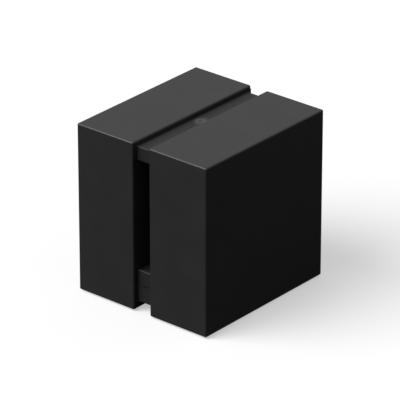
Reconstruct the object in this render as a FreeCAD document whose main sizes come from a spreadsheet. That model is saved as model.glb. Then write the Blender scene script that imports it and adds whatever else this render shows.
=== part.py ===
import FreeCAD, Part
import os
import re

import Sketcher

# A cube-shaped streaming player: two slabs side by side, joined by a recessed neck of two hollow bars.
# +X runs from the left slab to the right slab, -Y is the front, +Z is up. The origin is on the surface
# that the player stands on, below its centre. Sizes are in millimetres.

doc = FreeCAD.newDocument("StreamingPlayer")

sizes = [
    ("slab_width", 39.6, "one slab, left to right"),
    ("slot_width", 11.4, "gap between the slabs"),
    ("casing_depth", 99.4, "front to back"),
    ("casing_height", 100, "without the feet"),
    ("foot_gap", 1, "casing above the surface it stands on"),
    ("wall", 2, "casing walls and back panels"),
    ("edge_radius", 0.9, "outer edges of the slabs"),
    ("panel_thickness", 2, "inner panels, which face the slot"),
    ("part_gap", 0.15, "between a panel and the opening it closes"),
    ("neck_drop", 2.9, "neck below the casing's top"),
    ("neck_inset", 3.2, "neck behind the casing's front and back"),
    ("neck_lift", 4.5, "neck above the casing's underside"),
    ("top_bar_height", 8.1, ""),
    ("lower_bar_height", 19.1, ""),
    ("bar_wall", 1.6, "walls of the neck's hollow bars"),
    ("bar_end", 7, "solid ends of the bars, which the neck screws grip"),
    ("bar_radius", 0.4, "edges of the bars"),
    ("boss_length", 6, "bosses that the cover screws grip"),
    ("top_boss_place", 30, "top bar's bosses from the middle"),
    ("front_boss_place", 24, "lower bar's bosses from the middle"),
    ("rear_boss_place", 32, ""),
    ("cover_thickness", 1.5, "covers that close the bars from below"),
    ("button_margin", 1, "power button's edge from the slabs"),
    ("button_height", 1.9, "cap above its flange"),
    ("button_proud", 0.3, "cap above the neck"),
    ("button_gap", 0.1, "round the cap"),
    ("cap_rounding", 0.25, "rim of the cap"),
    ("button_travel", 0.5, ""),
    ("flange_width", 0.4, "rim that keeps the cap in"),
    ("flange_height", 0.8, ""),
    ("symbol_depth", 0.5, "light symbol sunk into the cap"),
    ("symbol_radius", 2.5, ""),
    ("symbol_line", 0.6, "width of its lines"),
    ("symbol_opening", 1.7, "gap of its ring"),
    ("symbol_start", 0.5, "start of its bar from the centre"),
    ("switch_side", 4.5, "push switch under the button"),
    ("switch_height", 1.8, ""),
    ("plunger_radius", 1, ""),
    ("plunger_length", 1.7, ""),
    ("slide_gap", 0.05, "round a plunger or a stem"),
    ("small_board", 1, "thickness of the button and light boards"),
    ("board_lift", 0.75, "button board above its cover"),
    ("board_ahead", 11, "button board in front of the button"),
    ("board_behind", 18, "and behind it"),
    ("rib_place", 9, "ribs under the button board, from the middle"),
    ("rib_thickness", 2, ""),
    ("window_width", 3.2, "slit window of the front light"),
    ("window_height", 0.9, ""),
    ("window_level", 14.5, "its centre above the casing's underside"),
    ("flange_depth", 1, "flange behind the slit window"),
    ("flange_margin", 0.6, "flange from the bar's inner walls"),
    ("receiver_width", 3.8, "infrared receiver"),
    ("receiver_height", 3.2, ""),
    ("receiver_depth", 1.2, ""),
    ("lamp_length", 1.6, "light-emitting diodes"),
    ("lamp_width", 0.8, ""),
    ("lamp_height", 0.6, ""),
    ("lamp_place", 3.4, "the button's diodes from its centre"),
    ("foot_radius", 6, ""),
    ("foot_recess", 0.6, "depth that a foot sinks into the casing"),
    ("foot_inset", 13.7, "foot centre from the front or back"),
    ("screw_radius", 1.2, "shank of every screw"),
    ("screw_length", 6, ""),
    ("screw_head", 2.2, "radius of the heads"),
    ("head_height", 1.3, ""),
    ("drive_radius", 0.8, "recess for the driver"),
    ("drive_depth", 0.7, ""),
    ("screw_gap", 0.05, "between a shank and its hole"),
    ("lug_width", 6.5, "screw lugs of the inner panels"),
    ("lug_length", 9, ""),
    ("lug_height", 8, "bottom lugs"),
    ("lug_inset", 19.7, "bottom lug centre from the front or back"),
    ("back_lug_inset", 29, "back lug centre from the casing's top or underside"),
    ("board_stand", 7, "pillars that hold the boards"),
    ("board_thickness", 1.6, ""),
    ("board_margin", 5, "board's lower edge above the casing's floor"),
    ("roof_margin", 3, "board's upper edge below the casing's roof"),
    ("board_setback", 3.7, "board edge behind the front wall"),
    ("board_short", 1.2, "board edge short of the back panel"),
    ("pillar_radius", 3, ""),
    ("pillar_edge", 8, "pillar centre from the board's front or lower edge"),
    ("pillar_drop", 6, "pillar centre from the board's upper edge"),
    ("socket_zone", 23.7, "rear pillars in front of the back panel"),
    ("socket_show", 1.5, "sockets beyond the back panel's inner face"),
    ("socket_gap", 0.3, "round a socket in its cut-out"),
    ("ethernet_width", 16.2, ""),
    ("ethernet_height", 13.4, ""),
    ("ethernet_depth", 21.3, ""),
    ("usb_width", 13.2, ""),
    ("usb_height", 5.8, ""),
    ("usb_depth", 14, ""),
    ("hdmi_width", 15, ""),
    ("hdmi_height", 5.6, ""),
    ("hdmi_depth", 11.5, ""),
    ("hdmi_shoulder", 1.4, "step at each end of the mouth"),
    ("shell_wall", 0.4, "sheet metal of the sockets"),
    ("socket_floor", 1, "closed end of a socket"),
    ("tongue_back", 1.3, "tongue tips behind the mouths"),
    ("tongue_thickness", 1.2, ""),
    ("usb_tongue_width", 11.2, ""),
    ("hdmi_tongue_width", 10.8, ""),
    ("mouth_depth", 14, "network plug's way in"),
    ("mouth_low", 1.8, "its mouth above the board"),
    ("mouth_height", 7.2, ""),
    ("mouth_width", 11.8, ""),
    ("latch_height", 1.8, "notch of its latch"),
    ("latch_width", 6.2, ""),
    ("key_height", 1.2, "narrow end of the notch"),
    ("key_width", 3.2, ""),
    ("contact_pitch", 1.02, ""),
    ("contact_radius", 0.25, ""),
    ("contact_length", 10.9, ""),
    ("optical_side", 9.7, ""),
    ("optical_depth", 13.5, ""),
    ("optical_mouth", 6.8, ""),
    ("optical_hole", 9, "depth of its mouth"),
    ("barrel_radius", 1.2, "light barrel in its mouth"),
    ("barrel_length", 4.5, ""),
    ("reset_side", 6, "reset switch"),
    ("reset_height", 4, ""),
    ("reset_setback", 1.7, "its face in front of the back panel"),
    ("stem_setback", 0.4, "stem's tip inside the back panel's outer face"),
    ("stem_radius", 1.3, "reset button"),
    ("stem_length", 6.9, ""),
    ("reset_travel", 0.4, ""),
    ("inlet_width", 20.6, "figure-8 mains inlet"),
    ("inlet_height", 13, ""),
    ("inlet_depth", 18, ""),
    ("inlet_lift", 4, "inlet above the board's lower edge"),
    ("inlet_mouth", 8.4, "height of its mouth"),
    ("inlet_waist", 6, "and between its lobes"),
    ("inlet_hole", 12, "depth of its mouth"),
    ("pin_radius", 1.2, ""),
    ("pin_pitch", 8.6, ""),
    ("pin_length", 8.5, ""),
    ("chip_side", 17, "processor"),
    ("chip_height", 1.6, ""),
    ("pad_height", 0.5, "thermal pad"),
    ("sink_side", 46, "heat sink"),
    ("sink_base", 3, ""),
    ("fin_height", 11.6, ""),
    ("fin_thickness", 1.2, ""),
    ("fin_pitch", 5.6, ""),
    ("vent_width", 2.2, "slots of the inner panels"),
    ("vent_pitch", 6, ""),
    ("vent_margin", 5, "slots from the neck's bars"),
    ("vent_bridge", 3, "between two rows of slots"),
    ("vent_span", 72, "rows of slots, front to back"),
    ("can_length", 18, "shield can over the radio chip"),
    ("can_width", 12, ""),
    ("can_height", 2.4, ""),
    ("can_wall", 0.3, ""),
    ("can_gap", 0.5, "can above the heat sink"),
    ("radio_side", 9, ""),
    ("radio_height", 1, ""),
    ("memory_length", 11, ""),
    ("memory_width", 10, ""),
    ("memory_height", 1.2, ""),
    ("memory_across", 15.5, "memory chips from the processor's centre"),
    ("memory_up", 7, ""),
    ("flash_length", 13, ""),
    ("flash_width", 11.5, ""),
    ("flash_height", 1, ""),
    ("flash_down", 17, "flash chip below the processor's centre"),
    ("capacitor_radius", 3.15, "filter capacitors"),
    ("capacitor_height", 6, ""),
    ("capacitor_pitch", 8.5, ""),
    ("inductor_side", 8, ""),
    ("inductor_height", 4, ""),
    ("inductor_pitch", 9.5, ""),
    ("row_drop", 5.5, "capacitors and inductors below the heat sink"),
    ("antenna_length", 34, ""),
    ("antenna_width", 8, ""),
    ("antenna_board", 0.8, ""),
    ("antenna_inset", 7, "antennas from the casing's outer wall"),
    ("antenna_rise", 12, "front antenna above the board's middle"),
    ("lead_bend", 4, "bends of the antenna leads"),
    ("lead_step", 4, "leads from the can or the board's edge"),
    ("lead_radius", 0.55, "antenna leads"),
    ("power_lead_radius", 0.75, "power leads through the lower bar"),
    ("power_lead_pitch", 2.5, ""),
    ("ribbon_width", 5, ""),
    ("ribbon_thickness", 0.3, ""),
    ("ribbon_place", 13, "button ribbon behind the button"),
    ("plug_height", 2.8, "board connectors"),
    ("plug_start", 1.5, "neck connectors to the left of the middle"),
    ("plug_end", 3, "and to the right"),
    ("lead_lift", 6, "power leads above the boards' lower edges"),
    ("lead_start", 8.25, "first power lead behind the middle"),
    ("way_margin", 0.75, "round what passes through a wall"),
    ("fuse_radius", 2.6, ""),
    ("fuse_length", 20, ""),
    ("fuse_setback", 12, "fuse in front of the sockets' faces"),
    ("choke_radius", 8, ""),
    ("choke_hole", 3, ""),
    ("choke_height", 9, ""),
    ("choke_place", 8, "choke behind the transformer"),
    ("rectifier_length", 15, ""),
    ("rectifier_width", 4, ""),
    ("rectifier_height", 11, ""),
    ("bulk_radius", 8, "bulk capacitor"),
    ("bulk_height", 20, ""),
    ("core_length", 28, "transformer"),
    ("core_width", 20, ""),
    ("core_height", 20, ""),
    ("core_window", 5, "windows of the core"),
    ("window_spread", 8.5, "windows from the core's middle"),
    ("core_floor", 3, "core below its windows"),
    ("winding_gap", 0.2, "winding in its window"),
    ("winding_proud", 2, "windings beyond the core"),
    ("cooler_width", 22, "power transistor's heat sink"),
    ("cooler_thickness", 2, ""),
    ("cooler_height", 18, ""),
    ("transistor_width", 10, ""),
    ("transistor_thickness", 4.5, ""),
    ("transistor_height", 15, ""),
    ("output_radius", 4, "output capacitors"),
    ("output_height", 14, ""),
    ("output_pitch", 11, ""),
    ("row_gap", 24, "rows of the power board's components"),
    ("row_behind", 9, "last row in front of the inlet"),
    ("row_ahead", 11, "first row behind the board's front edge"),
    ("high_row", 16, "high row below the board's upper edge"),
    ("sheet_thickness", 0.5, "insulating sheet"),
    ("sheet_margin", 4, "sheet from the casing's walls"),
]
aliases = {alias for alias, number, note in sizes}

sheet = doc.addObject("Spreadsheet::Sheet", "Sizes")
for row, (alias, number, note) in enumerate(sizes, start=1):
    sheet.set(f"A{row}", alias)
    sheet.set(f"B{row}", str(number))
    sheet.set(f"C{row}", note)
    sheet.setAlias(f"B{row}", alias)
doc.recompute()

nodes = {}


def formula(text):
    """The expression for a formula written with the sheet's names."""
    return re.sub(r"[a-z_]+", lambda w: f"Sizes.{w[0]}" if w[0] in aliases else w[0], str(text))


def value(text):
    """The number that a formula gives."""
    return float(sheet.evalExpression(formula(text)))


def bind(thing, **formulas):
    for prop, text in formulas.items():
        thing.setExpression(prop, formula(text))


def place(thing, x, y, z, along="z"):
    """Puts a primitive's own origin at x, y, z, with its height along the named axis."""
    turns = {
        "x": FreeCAD.Rotation(FreeCAD.Vector(0, 1, 0), 90),
        "y": FreeCAD.Rotation(FreeCAD.Vector(1, 0, 0), -90),
        "z": FreeCAD.Rotation(),
    }
    thing.Placement = FreeCAD.Placement(FreeCAD.Vector(), turns[along])
    bind(thing, **{"Placement.Base.x": x, "Placement.Base.y": y, "Placement.Base.z": z})


def new(kind, name, body=None):
    return body.newObject(kind, name) if body else doc.addObject(kind, name)


def box(name, x, y, z, body=None, kind="Part::Box"):
    """A box between pairs of low and high formulas."""
    piece = new(kind, name, body)
    bind(piece, Length=f"({x[1]}) - ({x[0]})", Width=f"({y[1]}) - ({y[0]})", Height=f"({z[1]}) - ({z[0]})")
    place(piece, x[0], y[0], z[0])
    return piece


def rod(name, along, centre, span, radius, body=None, kind="Part::Cylinder"):
    """A cylinder along an axis: its centre in the other two axes, and its span along its own."""
    piece = new(kind, name, body)
    bind(piece, Radius=radius, Height=f"({span[1]}) - ({span[0]})")
    at = list(centre)
    at.insert("xyz".index(along), span[0])
    place(piece, *at, along=along)
    return piece


def cone(name, along, centre, span, radii, body=None, kind="Part::Cone"):
    """A cone like rod, from its first radius to its second."""
    piece = new(kind, name, body)
    bind(piece, Radius1=radii[0], Radius2=radii[1], Height=f"({span[1]}) - ({span[0]})")
    at = list(centre)
    at.insert("xyz".index(along), span[0])
    place(piece, *at, along=along)
    return piece


def cut(name, base, *tools):
    """The base without the tools."""
    piece = doc.addObject("Part::Cut", name)
    piece.Base = base
    piece.Tool = tools[0] if len(tools) == 1 else fuse(f"{name}_cuts", *tools)
    return piece


def fuse(name, *shapes):
    piece = doc.addObject("Part::MultiFuse", name)
    piece.Shapes = list(shapes)
    return piece


def group(name, *solids):
    """Separate solids of one sub-part."""
    piece = doc.addObject("Part::Compound", name)
    piece.Links = list(solids)
    return piece


def node(name, piece):
    """Names a finished sub-part."""
    piece.Label = name
    nodes[name] = piece
    return piece


def new_body(name):
    return doc.addObject("PartDesign::Body", f"{name}_body")


def sketch_on(body, name, plane, offset):
    """A sketch on one of the body's own origin planes, moved along the plane's normal."""
    sketch = body.newObject("Sketcher::SketchObject", name)
    origin = next(f for f in body.Origin.OriginFeatures if f.Role == plane)
    sketch.AttachmentSupport = [(origin, "")]
    sketch.MapMode = "FlatFace"
    bind(sketch, **{"AttachmentOffset.Base.z": offset})
    return sketch


def dimension(sketch, text, kind, *where):
    """A driving dimension bound to a formula."""
    index = sketch.addConstraint(Sketcher.Constraint(kind, *where, value(text)))
    sketch.setExpression(f"Constraints[{index}]", formula(text))


def rectangle(sketch, across, up):
    """A rectangle between pairs of low and high formulas, placed from the sketch's origin."""
    first = sketch.GeometryCount
    left, right, low, high = (value(text) for text in (*across, *up))
    corners = [(left, low), (right, low), (right, high), (left, high)]
    points = [FreeCAD.Vector(a, b, 0) for a, b in corners]
    for k in range(4):
        sketch.addGeometry(Part.LineSegment(points[k], points[(k + 1) % 4]), False)
    for k in range(4):
        sketch.addConstraint(Sketcher.Constraint("Coincident", first + k, 2, first + (k + 1) % 4, 1))
        sketch.addConstraint(Sketcher.Constraint("Vertical" if k % 2 else "Horizontal", first + k))
    dimension(sketch, across[0], "DistanceX", -1, 1, first, 1)
    dimension(sketch, up[0], "DistanceY", -1, 1, first, 1)
    dimension(sketch, across[1], "DistanceX", -1, 1, first + 1, 2)
    dimension(sketch, up[1], "DistanceY", -1, 1, first + 1, 2)


def disc_at_centre(sketch, radius):
    """A circle about the sketch's origin."""
    sketch.addGeometry(Part.Circle(FreeCAD.Vector(), FreeCAD.Vector(0, 0, 1), value(radius)), False)
    sketch.addConstraint(Sketcher.Constraint("Coincident", 0, 3, -1, 1))
    dimension(sketch, radius, "Radius", 0)


def pad(body, sketch, length, backwards=False):
    feature = body.newObject("PartDesign::Pad", f"{sketch.Name}_pad")
    feature.Profile = sketch
    feature.Reversed = backwards
    bind(feature, Length=length)
    doc.recompute()
    return feature


def pocket(body, sketch, length, backwards=False):
    """Cuts the sketch into the body, and makes sure that it did."""
    before = body.Shape.Volume
    feature = body.newObject("PartDesign::Pocket", f"{sketch.Name}_pocket")
    feature.Profile = sketch
    feature.Reversed = backwards
    bind(feature, Length=length)
    doc.recompute()
    if body.Shape.Volume > before - 1e-6:
        raise ValueError(f"{sketch.Name} cuts nothing")
    return feature


def round_all(body, block, radius):
    """Rounds every edge of a block."""
    rounding = body.newObject("PartDesign::Fillet", f"{block.Name}_edges")
    rounding.Base = (block, [f"Edge{k + 1}" for k in range(len(block.Shape.Edges))])
    bind(rounding, Radius=radius)
    doc.recompute()


def repeat(body, feature, sketch, length, pitch):
    """Repeats a feature along its sketch's horizontal axis, as often as the pitch fits the length."""
    pattern = body.newObject("PartDesign::LinearPattern", f"{feature.Name}_row")
    pattern.Originals = [feature]
    pattern.Direction = (sketch, ["H_Axis"])
    bind(pattern, Length=length)
    pattern.Occurrences = int(value(f"({length}) / {pitch}")) + 1
    body.Tip = pattern


def add_box(body, name, x, y, z):
    return box(name, x, y, z, body, "PartDesign::AdditiveBox")


def cut_box(body, name, x, y, z):
    return box(name, x, y, z, body, "PartDesign::SubtractiveBox")


def add_rod(body, name, along, centre, span, radius):
    return rod(name, along, centre, span, radius, body, "PartDesign::AdditiveCylinder")


def cut_rod(body, name, along, centre, span, radius):
    return rod(name, along, centre, span, radius, body, "PartDesign::SubtractiveCylinder")


def cut_cone(body, name, along, centre, span, radii):
    return cone(name, along, centre, span, radii, body, "PartDesign::SubtractiveCone")


def outwards(side, low, high):
    """A span in X that starts at the slot and runs outwards: side 1 is the right slab, -1 the left."""
    return (low, high) if side > 0 else (f"-({high})", f"-({low})")


def at_side(side, text):
    return f"{side} * ({text})"


def around(centre, half):
    return (f"({centre}) - ({half})", f"({centre}) + ({half})")


def lead(name, points, radius, bend):
    """A round lead along two straight runs and a tangent arc, which no primitive makes."""
    start, corner, end = (FreeCAD.Vector(*(value(text) for text in point)) for point in points)
    before = (start - corner).normalize()
    after = (end - corner).normalize()
    turn = value(bend)
    first = corner + before * turn
    last = corner + after * turn
    middle = corner + (before + after) * turn - (before + after).normalize() * turn
    path = Part.Wire([
        Part.LineSegment(start, first).toShape(),
        Part.Arc(first, middle, last).toShape(),
        Part.LineSegment(last, end).toShape(),
    ])
    profile = Part.Wire([Part.makeCircle(value(radius), start, before)])
    piece = doc.addObject("Part::Feature", name)
    piece.Shape = path.makePipeShell([profile], True, True)
    return piece


# Planes and places that several pieces share
slot_face = "(slot_width / 2)"
panel_inside = "(slot_width / 2 + panel_thickness)"
slab_face = "(slot_width / 2 + slab_width)"
side_inside = "(slot_width / 2 + slab_width - wall)"
slab_centre = "(slot_width / 2 + slab_width / 2)"
floor_inside = "(foot_gap + wall)"
roof_inside = "(foot_gap + casing_height - wall)"
front_face = "(-casing_depth / 2)"
back_face = "(casing_depth / 2)"
front_inside = "(-casing_depth / 2 + wall)"
back_inside = "(casing_depth / 2 - wall)"

neck_end = "(casing_depth / 2 - neck_inset)"
neck_top = "(foot_gap + casing_height - neck_drop)"
top_bar_low = f"({neck_top} - top_bar_height)"
top_ceiling = f"({neck_top} - bar_wall)"
lower_bar_low = "(foot_gap + neck_lift)"
lower_bar_top = f"({lower_bar_low} + lower_bar_height)"
low_ceiling = f"({lower_bar_top} - bar_end)"
high_ceiling = f"({lower_bar_top} - bar_wall)"
bar_inside = f"({slot_face} - bar_wall)"
in_bar = (f"-({bar_inside} - part_gap)", f"{bar_inside} - part_gap")

board_inner = f"({panel_inside} + board_stand)"
board_outer = f"({board_inner} + board_thickness)"
board_low = f"({floor_inside} + board_margin)"
board_high = f"({roof_inside} - roof_margin)"
board_middle = f"(({board_low} + {board_high}) / 2)"
board_front = f"({front_inside} + board_setback)"
board_back = f"({back_inside} - board_short)"
socket_face = f"({back_inside} + socket_show)"

# Screws and what they grip
hole_radius = "(screw_radius + screw_gap)"
sink_radius = "(screw_head + screw_gap)"
lug_x = f"({panel_inside} + lug_width / 2)"
lug_end = f"({panel_inside} + lug_width)"
bottom_lugs = (f"({front_face} + lug_inset)", f"({back_face} - lug_inset)")
back_lugs = ("(foot_gap + back_lug_inset)", "(foot_gap + casing_height - back_lug_inset)")
foot_places = (f"({front_face} + foot_inset)", f"({back_face} - foot_inset)")
pillar_front = f"({board_front} + pillar_edge)"
pillar_back = f"({back_inside} - socket_zone)"
pillar_low = f"({board_low} + pillar_edge)"
pillar_high = f"({board_high} - pillar_drop)"
pillars = [(y, z) for y in (pillar_front, pillar_back) for z in (pillar_low, pillar_high)]
neck_screw_y = f"({neck_end} - bar_end / 2)"
low_grip = f"({lower_bar_top} - bar_end / 2)"
high_grip = f"({neck_top} - top_bar_height / 2)"
neck_screws = [(y, z) for y in (f"-{neck_screw_y}", neck_screw_y) for z in (low_grip, high_grip)]
top_bosses = ("-top_boss_place", "top_boss_place")
lower_bosses = ("-front_boss_place", "rear_boss_place")

# The power button's stack, from the cap down to its board
button_radius = f"({slot_face} - button_margin)"
flange_radius = f"({button_radius} + flange_width)"
cap_top = f"({neck_top} + button_proud)"
flange_top = f"({cap_top} - button_height)"
cap_bottom = f"({flange_top} - flange_height)"
button_board_low = f"({top_bar_low} + cover_thickness + board_lift)"
button_board_top = f"({button_board_low} + small_board)"

# The front light and what passes through the neck's walls
window_z = "(foot_gap + window_level)"
light_board_front = f"(-{neck_end} + bar_wall + flange_depth + receiver_depth + 0.1)"
light_board_back = f"({light_board_front} + small_board)"
light_board_span = (light_board_front, light_board_back)
lead_z = f"({board_low} + lead_lift)"
lead_y = [f"(lead_start + {k} * power_lead_pitch)" for k in range(4)]
lead_span = (f"{lead_y[0]} - 2", f"{lead_y[3]} + 2")
button_ribbon_z = f"({button_board_top} + 1)"
light_ribbon_y = f"({light_board_back} + 0.7)"
light_ribbon_z = f"({window_z} - 4)"
lead_way = (lead_span, around(lead_z, "2"))
button_way = (around("ribbon_place", "ribbon_width / 2 + way_margin"), around(button_ribbon_z, "0.8"))
light_way = (around(light_ribbon_y, "0.8"), around(light_ribbon_z, "ribbon_width / 2 + way_margin"))
plug_face = f"({board_inner} - plug_height)"

# The sockets stand in a column up the main board's back edge, with equal gaps
column = ("ethernet_width", "usb_width", "hdmi_width", "optical_side", "reset_side")
column_gap = f"(({board_high} - {board_low} - ({' + '.join(column)})) / {len(column) + 1})"
socket_z = {}
level = board_low
for width in column:
    level = f"({level} + {column_gap})"
    socket_z[width] = f"({level} + {width} / 2)"
    level = f"({level} + {width})"
socket_sizes = (
    ("ethernet_width", "ethernet_height"),
    ("usb_width", "usb_height"),
    ("hdmi_width", "hdmi_height"),
    ("optical_side", "optical_side"),
)
inlet_z = f"({board_low} + inlet_lift + inlet_width / 2)"
reset_at = (f"({board_outer} + reset_height / 2)", socket_z["reset_side"])


def make_casing(side, name):
    """Outer shell of a slab: open to the slot, where the inner panel goes in, and to the back."""
    body = new_body(name)
    outline = sketch_on(body, f"{name}_outline", "XY_Plane", "foot_gap")
    rectangle(outline, outwards(side, slot_face, slab_face), (front_face, back_face))
    block = pad(body, outline, "casing_height")
    round_all(body, block, "edge_radius")
    inside = sketch_on(body, f"{name}_inside", "YZ_Plane", at_side(side, slot_face))
    rectangle(inside, (front_inside, f"{back_face} + wall"), (floor_inside, roof_inside))
    pocket(body, inside, "slab_width - wall", backwards=side > 0)
    for k, y in enumerate(foot_places):
        span = ("0", "foot_gap + foot_recess")
        cut_rod(body, f"{name}_foot_{k}", "z", (at_side(side, slab_centre), y), span, "foot_radius")
    for k, y in enumerate(bottom_lugs):
        at = (at_side(side, lug_x), y)
        cut_rod(body, f"{name}_hole_{k}", "z", at, ("0", f"{floor_inside} + 1"), hole_radius)
        span = ("foot_gap", "foot_gap + head_height")
        cut_cone(body, f"{name}_sink_{k}", "z", at, span, (sink_radius, hole_radius))
    node(name, body)


def add_lugs(body, side, name):
    """An inner panel's screw lugs: two at the bottom for the casing, two at the back for its panel."""
    x = outwards(side, f"{panel_inside} - 1", lug_end)
    for k, y in enumerate(bottom_lugs):
        span = (floor_inside, f"{floor_inside} + lug_height")
        add_box(body, f"{name}_lug_{k}", x, around(y, "lug_length / 2"), span)
        hole = ("0", f"{floor_inside} + lug_height - 2")
        cut_rod(body, f"{name}_lug_hole_{k}", "z", (at_side(side, lug_x), y), hole, hole_radius)
    for k, z in enumerate(back_lugs):
        span = (f"{back_inside} - lug_length", back_inside)
        add_box(body, f"{name}_back_lug_{k}", x, span, around(z, "lug_width / 2"))
        hole = (f"{back_face} - screw_length - 1", f"{back_face} + 1")
        cut_rod(body, f"{name}_back_hole_{k}", "y", (at_side(side, lug_x), z), hole, hole_radius)


def add_pillars(body, side, name):
    """An inner panel's four hollow pillars, which its board is screwed to."""
    for k, at in enumerate(pillars):
        span = outwards(side, f"{panel_inside} - 1", board_inner)
        add_rod(body, f"{name}_pillar_{k}", "x", at, span, "pillar_radius")
        hole = outwards(side, f"{board_inner} - screw_length", f"{board_inner} + 1")
        cut_rod(body, f"{name}_pillar_hole_{k}", "x", at, hole, hole_radius)


def cut_vents(body, side, name):
    """Rows of upright slots in an inner panel, between the neck's bars."""
    vents = sketch_on(body, f"{name}_vents", "YZ_Plane", at_side(side, slot_face))
    low = f"({lower_bar_top} + vent_margin)"
    height = f"(({top_bar_low} - vent_margin - {low} - 2 * vent_bridge) / 3)"
    for k in range(3):
        start = f"({low} + {k} * ({height} + vent_bridge))"
        rectangle(vents, ("-vent_span / 2", "vent_width - vent_span / 2"), (start, f"{start} + {height}"))
    first = pocket(body, vents, "panel_thickness", backwards=side > 0)
    repeat(body, first, vents, "vent_span - vent_width", "vent_pitch")


def make_inner_panel(side, name, ways):
    """Chassis of a slab: the plate that faces the slot, with vents, lugs, pillars and ways for cables."""
    body = new_body(name)
    plate = sketch_on(body, f"{name}_plate", "YZ_Plane", at_side(side, slot_face))
    across = (f"{front_inside} + part_gap", back_face)
    rectangle(plate, across, (f"{floor_inside} + part_gap", f"{roof_inside} - part_gap"))
    pad(body, plate, "panel_thickness", backwards=side < 0)
    add_lugs(body, side, name)
    add_pillars(body, side, name)
    through = outwards(side, f"{slot_face} - 1", f"{panel_inside} + 1")
    for k, at in enumerate(neck_screws):
        cut_rod(body, f"{name}_neck_hole_{k}", "x", at, through, hole_radius)
    for k, (y, z) in enumerate(ways):
        cut_box(body, f"{name}_way_{k}", through, y, z)
    doc.recompute()
    cut_vents(body, side, name)
    node(name, body)


def make_back_panel(side, name, cutouts):
    """Plate that closes a slab's back, with cut-outs and two countersunk screw holes."""
    body = new_body(name)
    plate = sketch_on(body, f"{name}_plate", "XY_Plane", f"{floor_inside} + part_gap")
    x = outwards(side, f"{panel_inside} + part_gap", f"{side_inside} - part_gap")
    rectangle(plate, x, (back_inside, back_face))
    pad(body, plate, f"{roof_inside} - {floor_inside} - 2 * part_gap")
    through = (f"{back_inside} - 1", f"{back_face} + 1")
    for k, z in enumerate(back_lugs):
        at = (at_side(side, lug_x), z)
        cut_rod(body, f"{name}_hole_{k}", "y", at, through, hole_radius)
        span = (f"{back_face} - head_height", back_face)
        cut_cone(body, f"{name}_sink_{k}", "y", at, span, (hole_radius, sink_radius))
    for k, (x, z) in enumerate(cutouts):
        cut_box(body, f"{name}_cutout_{k}", x, through, z)
    if side > 0:
        cut_rod(body, f"{name}_reset_hole", "y", reset_at, through, "stem_radius + socket_gap")
    node(name, body)


def make_casings():
    for side, name in ((-1, "left"), (1, "right")):
        make_casing(side, f"{name}_casing")
    make_inner_panel(-1, "left_inner_panel", [lead_way])
    make_inner_panel(1, "right_inner_panel", [lead_way, button_way, light_way])
    inlet_x = outwards(-1, f"{board_outer} - socket_gap", f"{board_outer} + inlet_height + socket_gap")
    make_back_panel(-1, "left_back_panel", [(inlet_x, around(inlet_z, "inlet_width / 2 + socket_gap"))])
    cutouts = []
    for width, height in socket_sizes:
        x = (f"{board_outer} - socket_gap", f"{board_outer} + {height} + socket_gap")
        cutouts.append((x, around(socket_z[width], f"{width} / 2 + socket_gap")))
    make_back_panel(1, "right_back_panel", cutouts)


def make_bar(name, low, height, hollows, bosses, grip):
    """A hollow bar of the neck, open below. Each hollow is its half length and the height it ends at."""
    body = new_body(name)
    outline = sketch_on(body, f"{name}_outline", "XY_Plane", low)
    rectangle(outline, (f"-{slot_face}", slot_face), (f"-{neck_end}", neck_end))
    block = pad(body, outline, height)
    round_all(body, block, "bar_radius")
    for k, (half_length, ceiling) in enumerate(hollows):
        hollow = sketch_on(body, f"{name}_hollow_{k}", "XY_Plane", low)
        rectangle(hollow, (f"-{bar_inside}", bar_inside), (f"-({half_length})", half_length))
        pocket(body, hollow, f"{ceiling} - {low}", backwards=True)
    seat = f"{low} + cover_thickness"
    for k, y in enumerate(bosses):
        sides = (f"-({bar_inside} + 0.5)", f"{bar_inside} + 0.5")
        up = (seat, f"{hollows[-1][1]} + 0.5")
        add_box(body, f"{name}_boss_{k}", sides, around(y, "boss_length / 2"), up)
        hole = (low, f"{low} + screw_length + 0.3")
        cut_rod(body, f"{name}_boss_hole_{k}", "z", ("0", y), hole, hole_radius)
    through = (f"-{slot_face} - 1", f"{slot_face} + 1")
    for k, y in enumerate((f"-{neck_screw_y}", neck_screw_y)):
        cut_rod(body, f"{name}_grip_{k}", "x", (y, grip), through, hole_radius)
    return body


def make_top_bar():
    """The neck's upper bar, with the button's well and the way for its ribbon."""
    hollows = [(f"{neck_end} - bar_end", top_ceiling)]
    body = make_bar("neck_top_bar", top_bar_low, "top_bar_height", hollows, top_bosses, high_grip)
    well = (f"{top_bar_low} - 1", top_ceiling)
    cut_rod(body, "button_well", "z", ("0", "0"), well, f"{flange_radius} + button_gap")
    hole = (f"{top_ceiling} - 1", f"{neck_top} + 1")
    cut_rod(body, "button_hole", "z", ("0", "0"), hole, f"{button_radius} + button_gap")
    cut_box(body, "button_ribbon_slot", (f"{bar_inside} - 1", f"{slot_face} + 1"), *button_way)
    node("neck_top_bar", body)


def make_lower_bar():
    """The neck's lower bar, with the slit of the front light and the ways for leads and ribbon."""
    hollows = [(f"{neck_end} - bar_wall", low_ceiling), (f"{neck_end} - bar_end", high_ceiling)]
    body = make_bar("neck_lower_bar", lower_bar_low, "lower_bar_height", hollows, lower_bosses, low_grip)
    slit = (f"-{neck_end} - 1", f"-{neck_end} + bar_wall + 1")
    across = ("-window_width / 2", "window_width / 2")
    cut_box(body, "window_slit", across, slit, around(window_z, "window_height / 2"))
    cut_box(body, "power_lead_slot", (f"-{slot_face} - 1", f"{slot_face} + 1"), *lead_way)
    cut_box(body, "light_ribbon_slot", (f"{bar_inside} - 1", f"{slot_face} + 1"), *light_way)
    node("neck_lower_bar", body)


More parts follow.
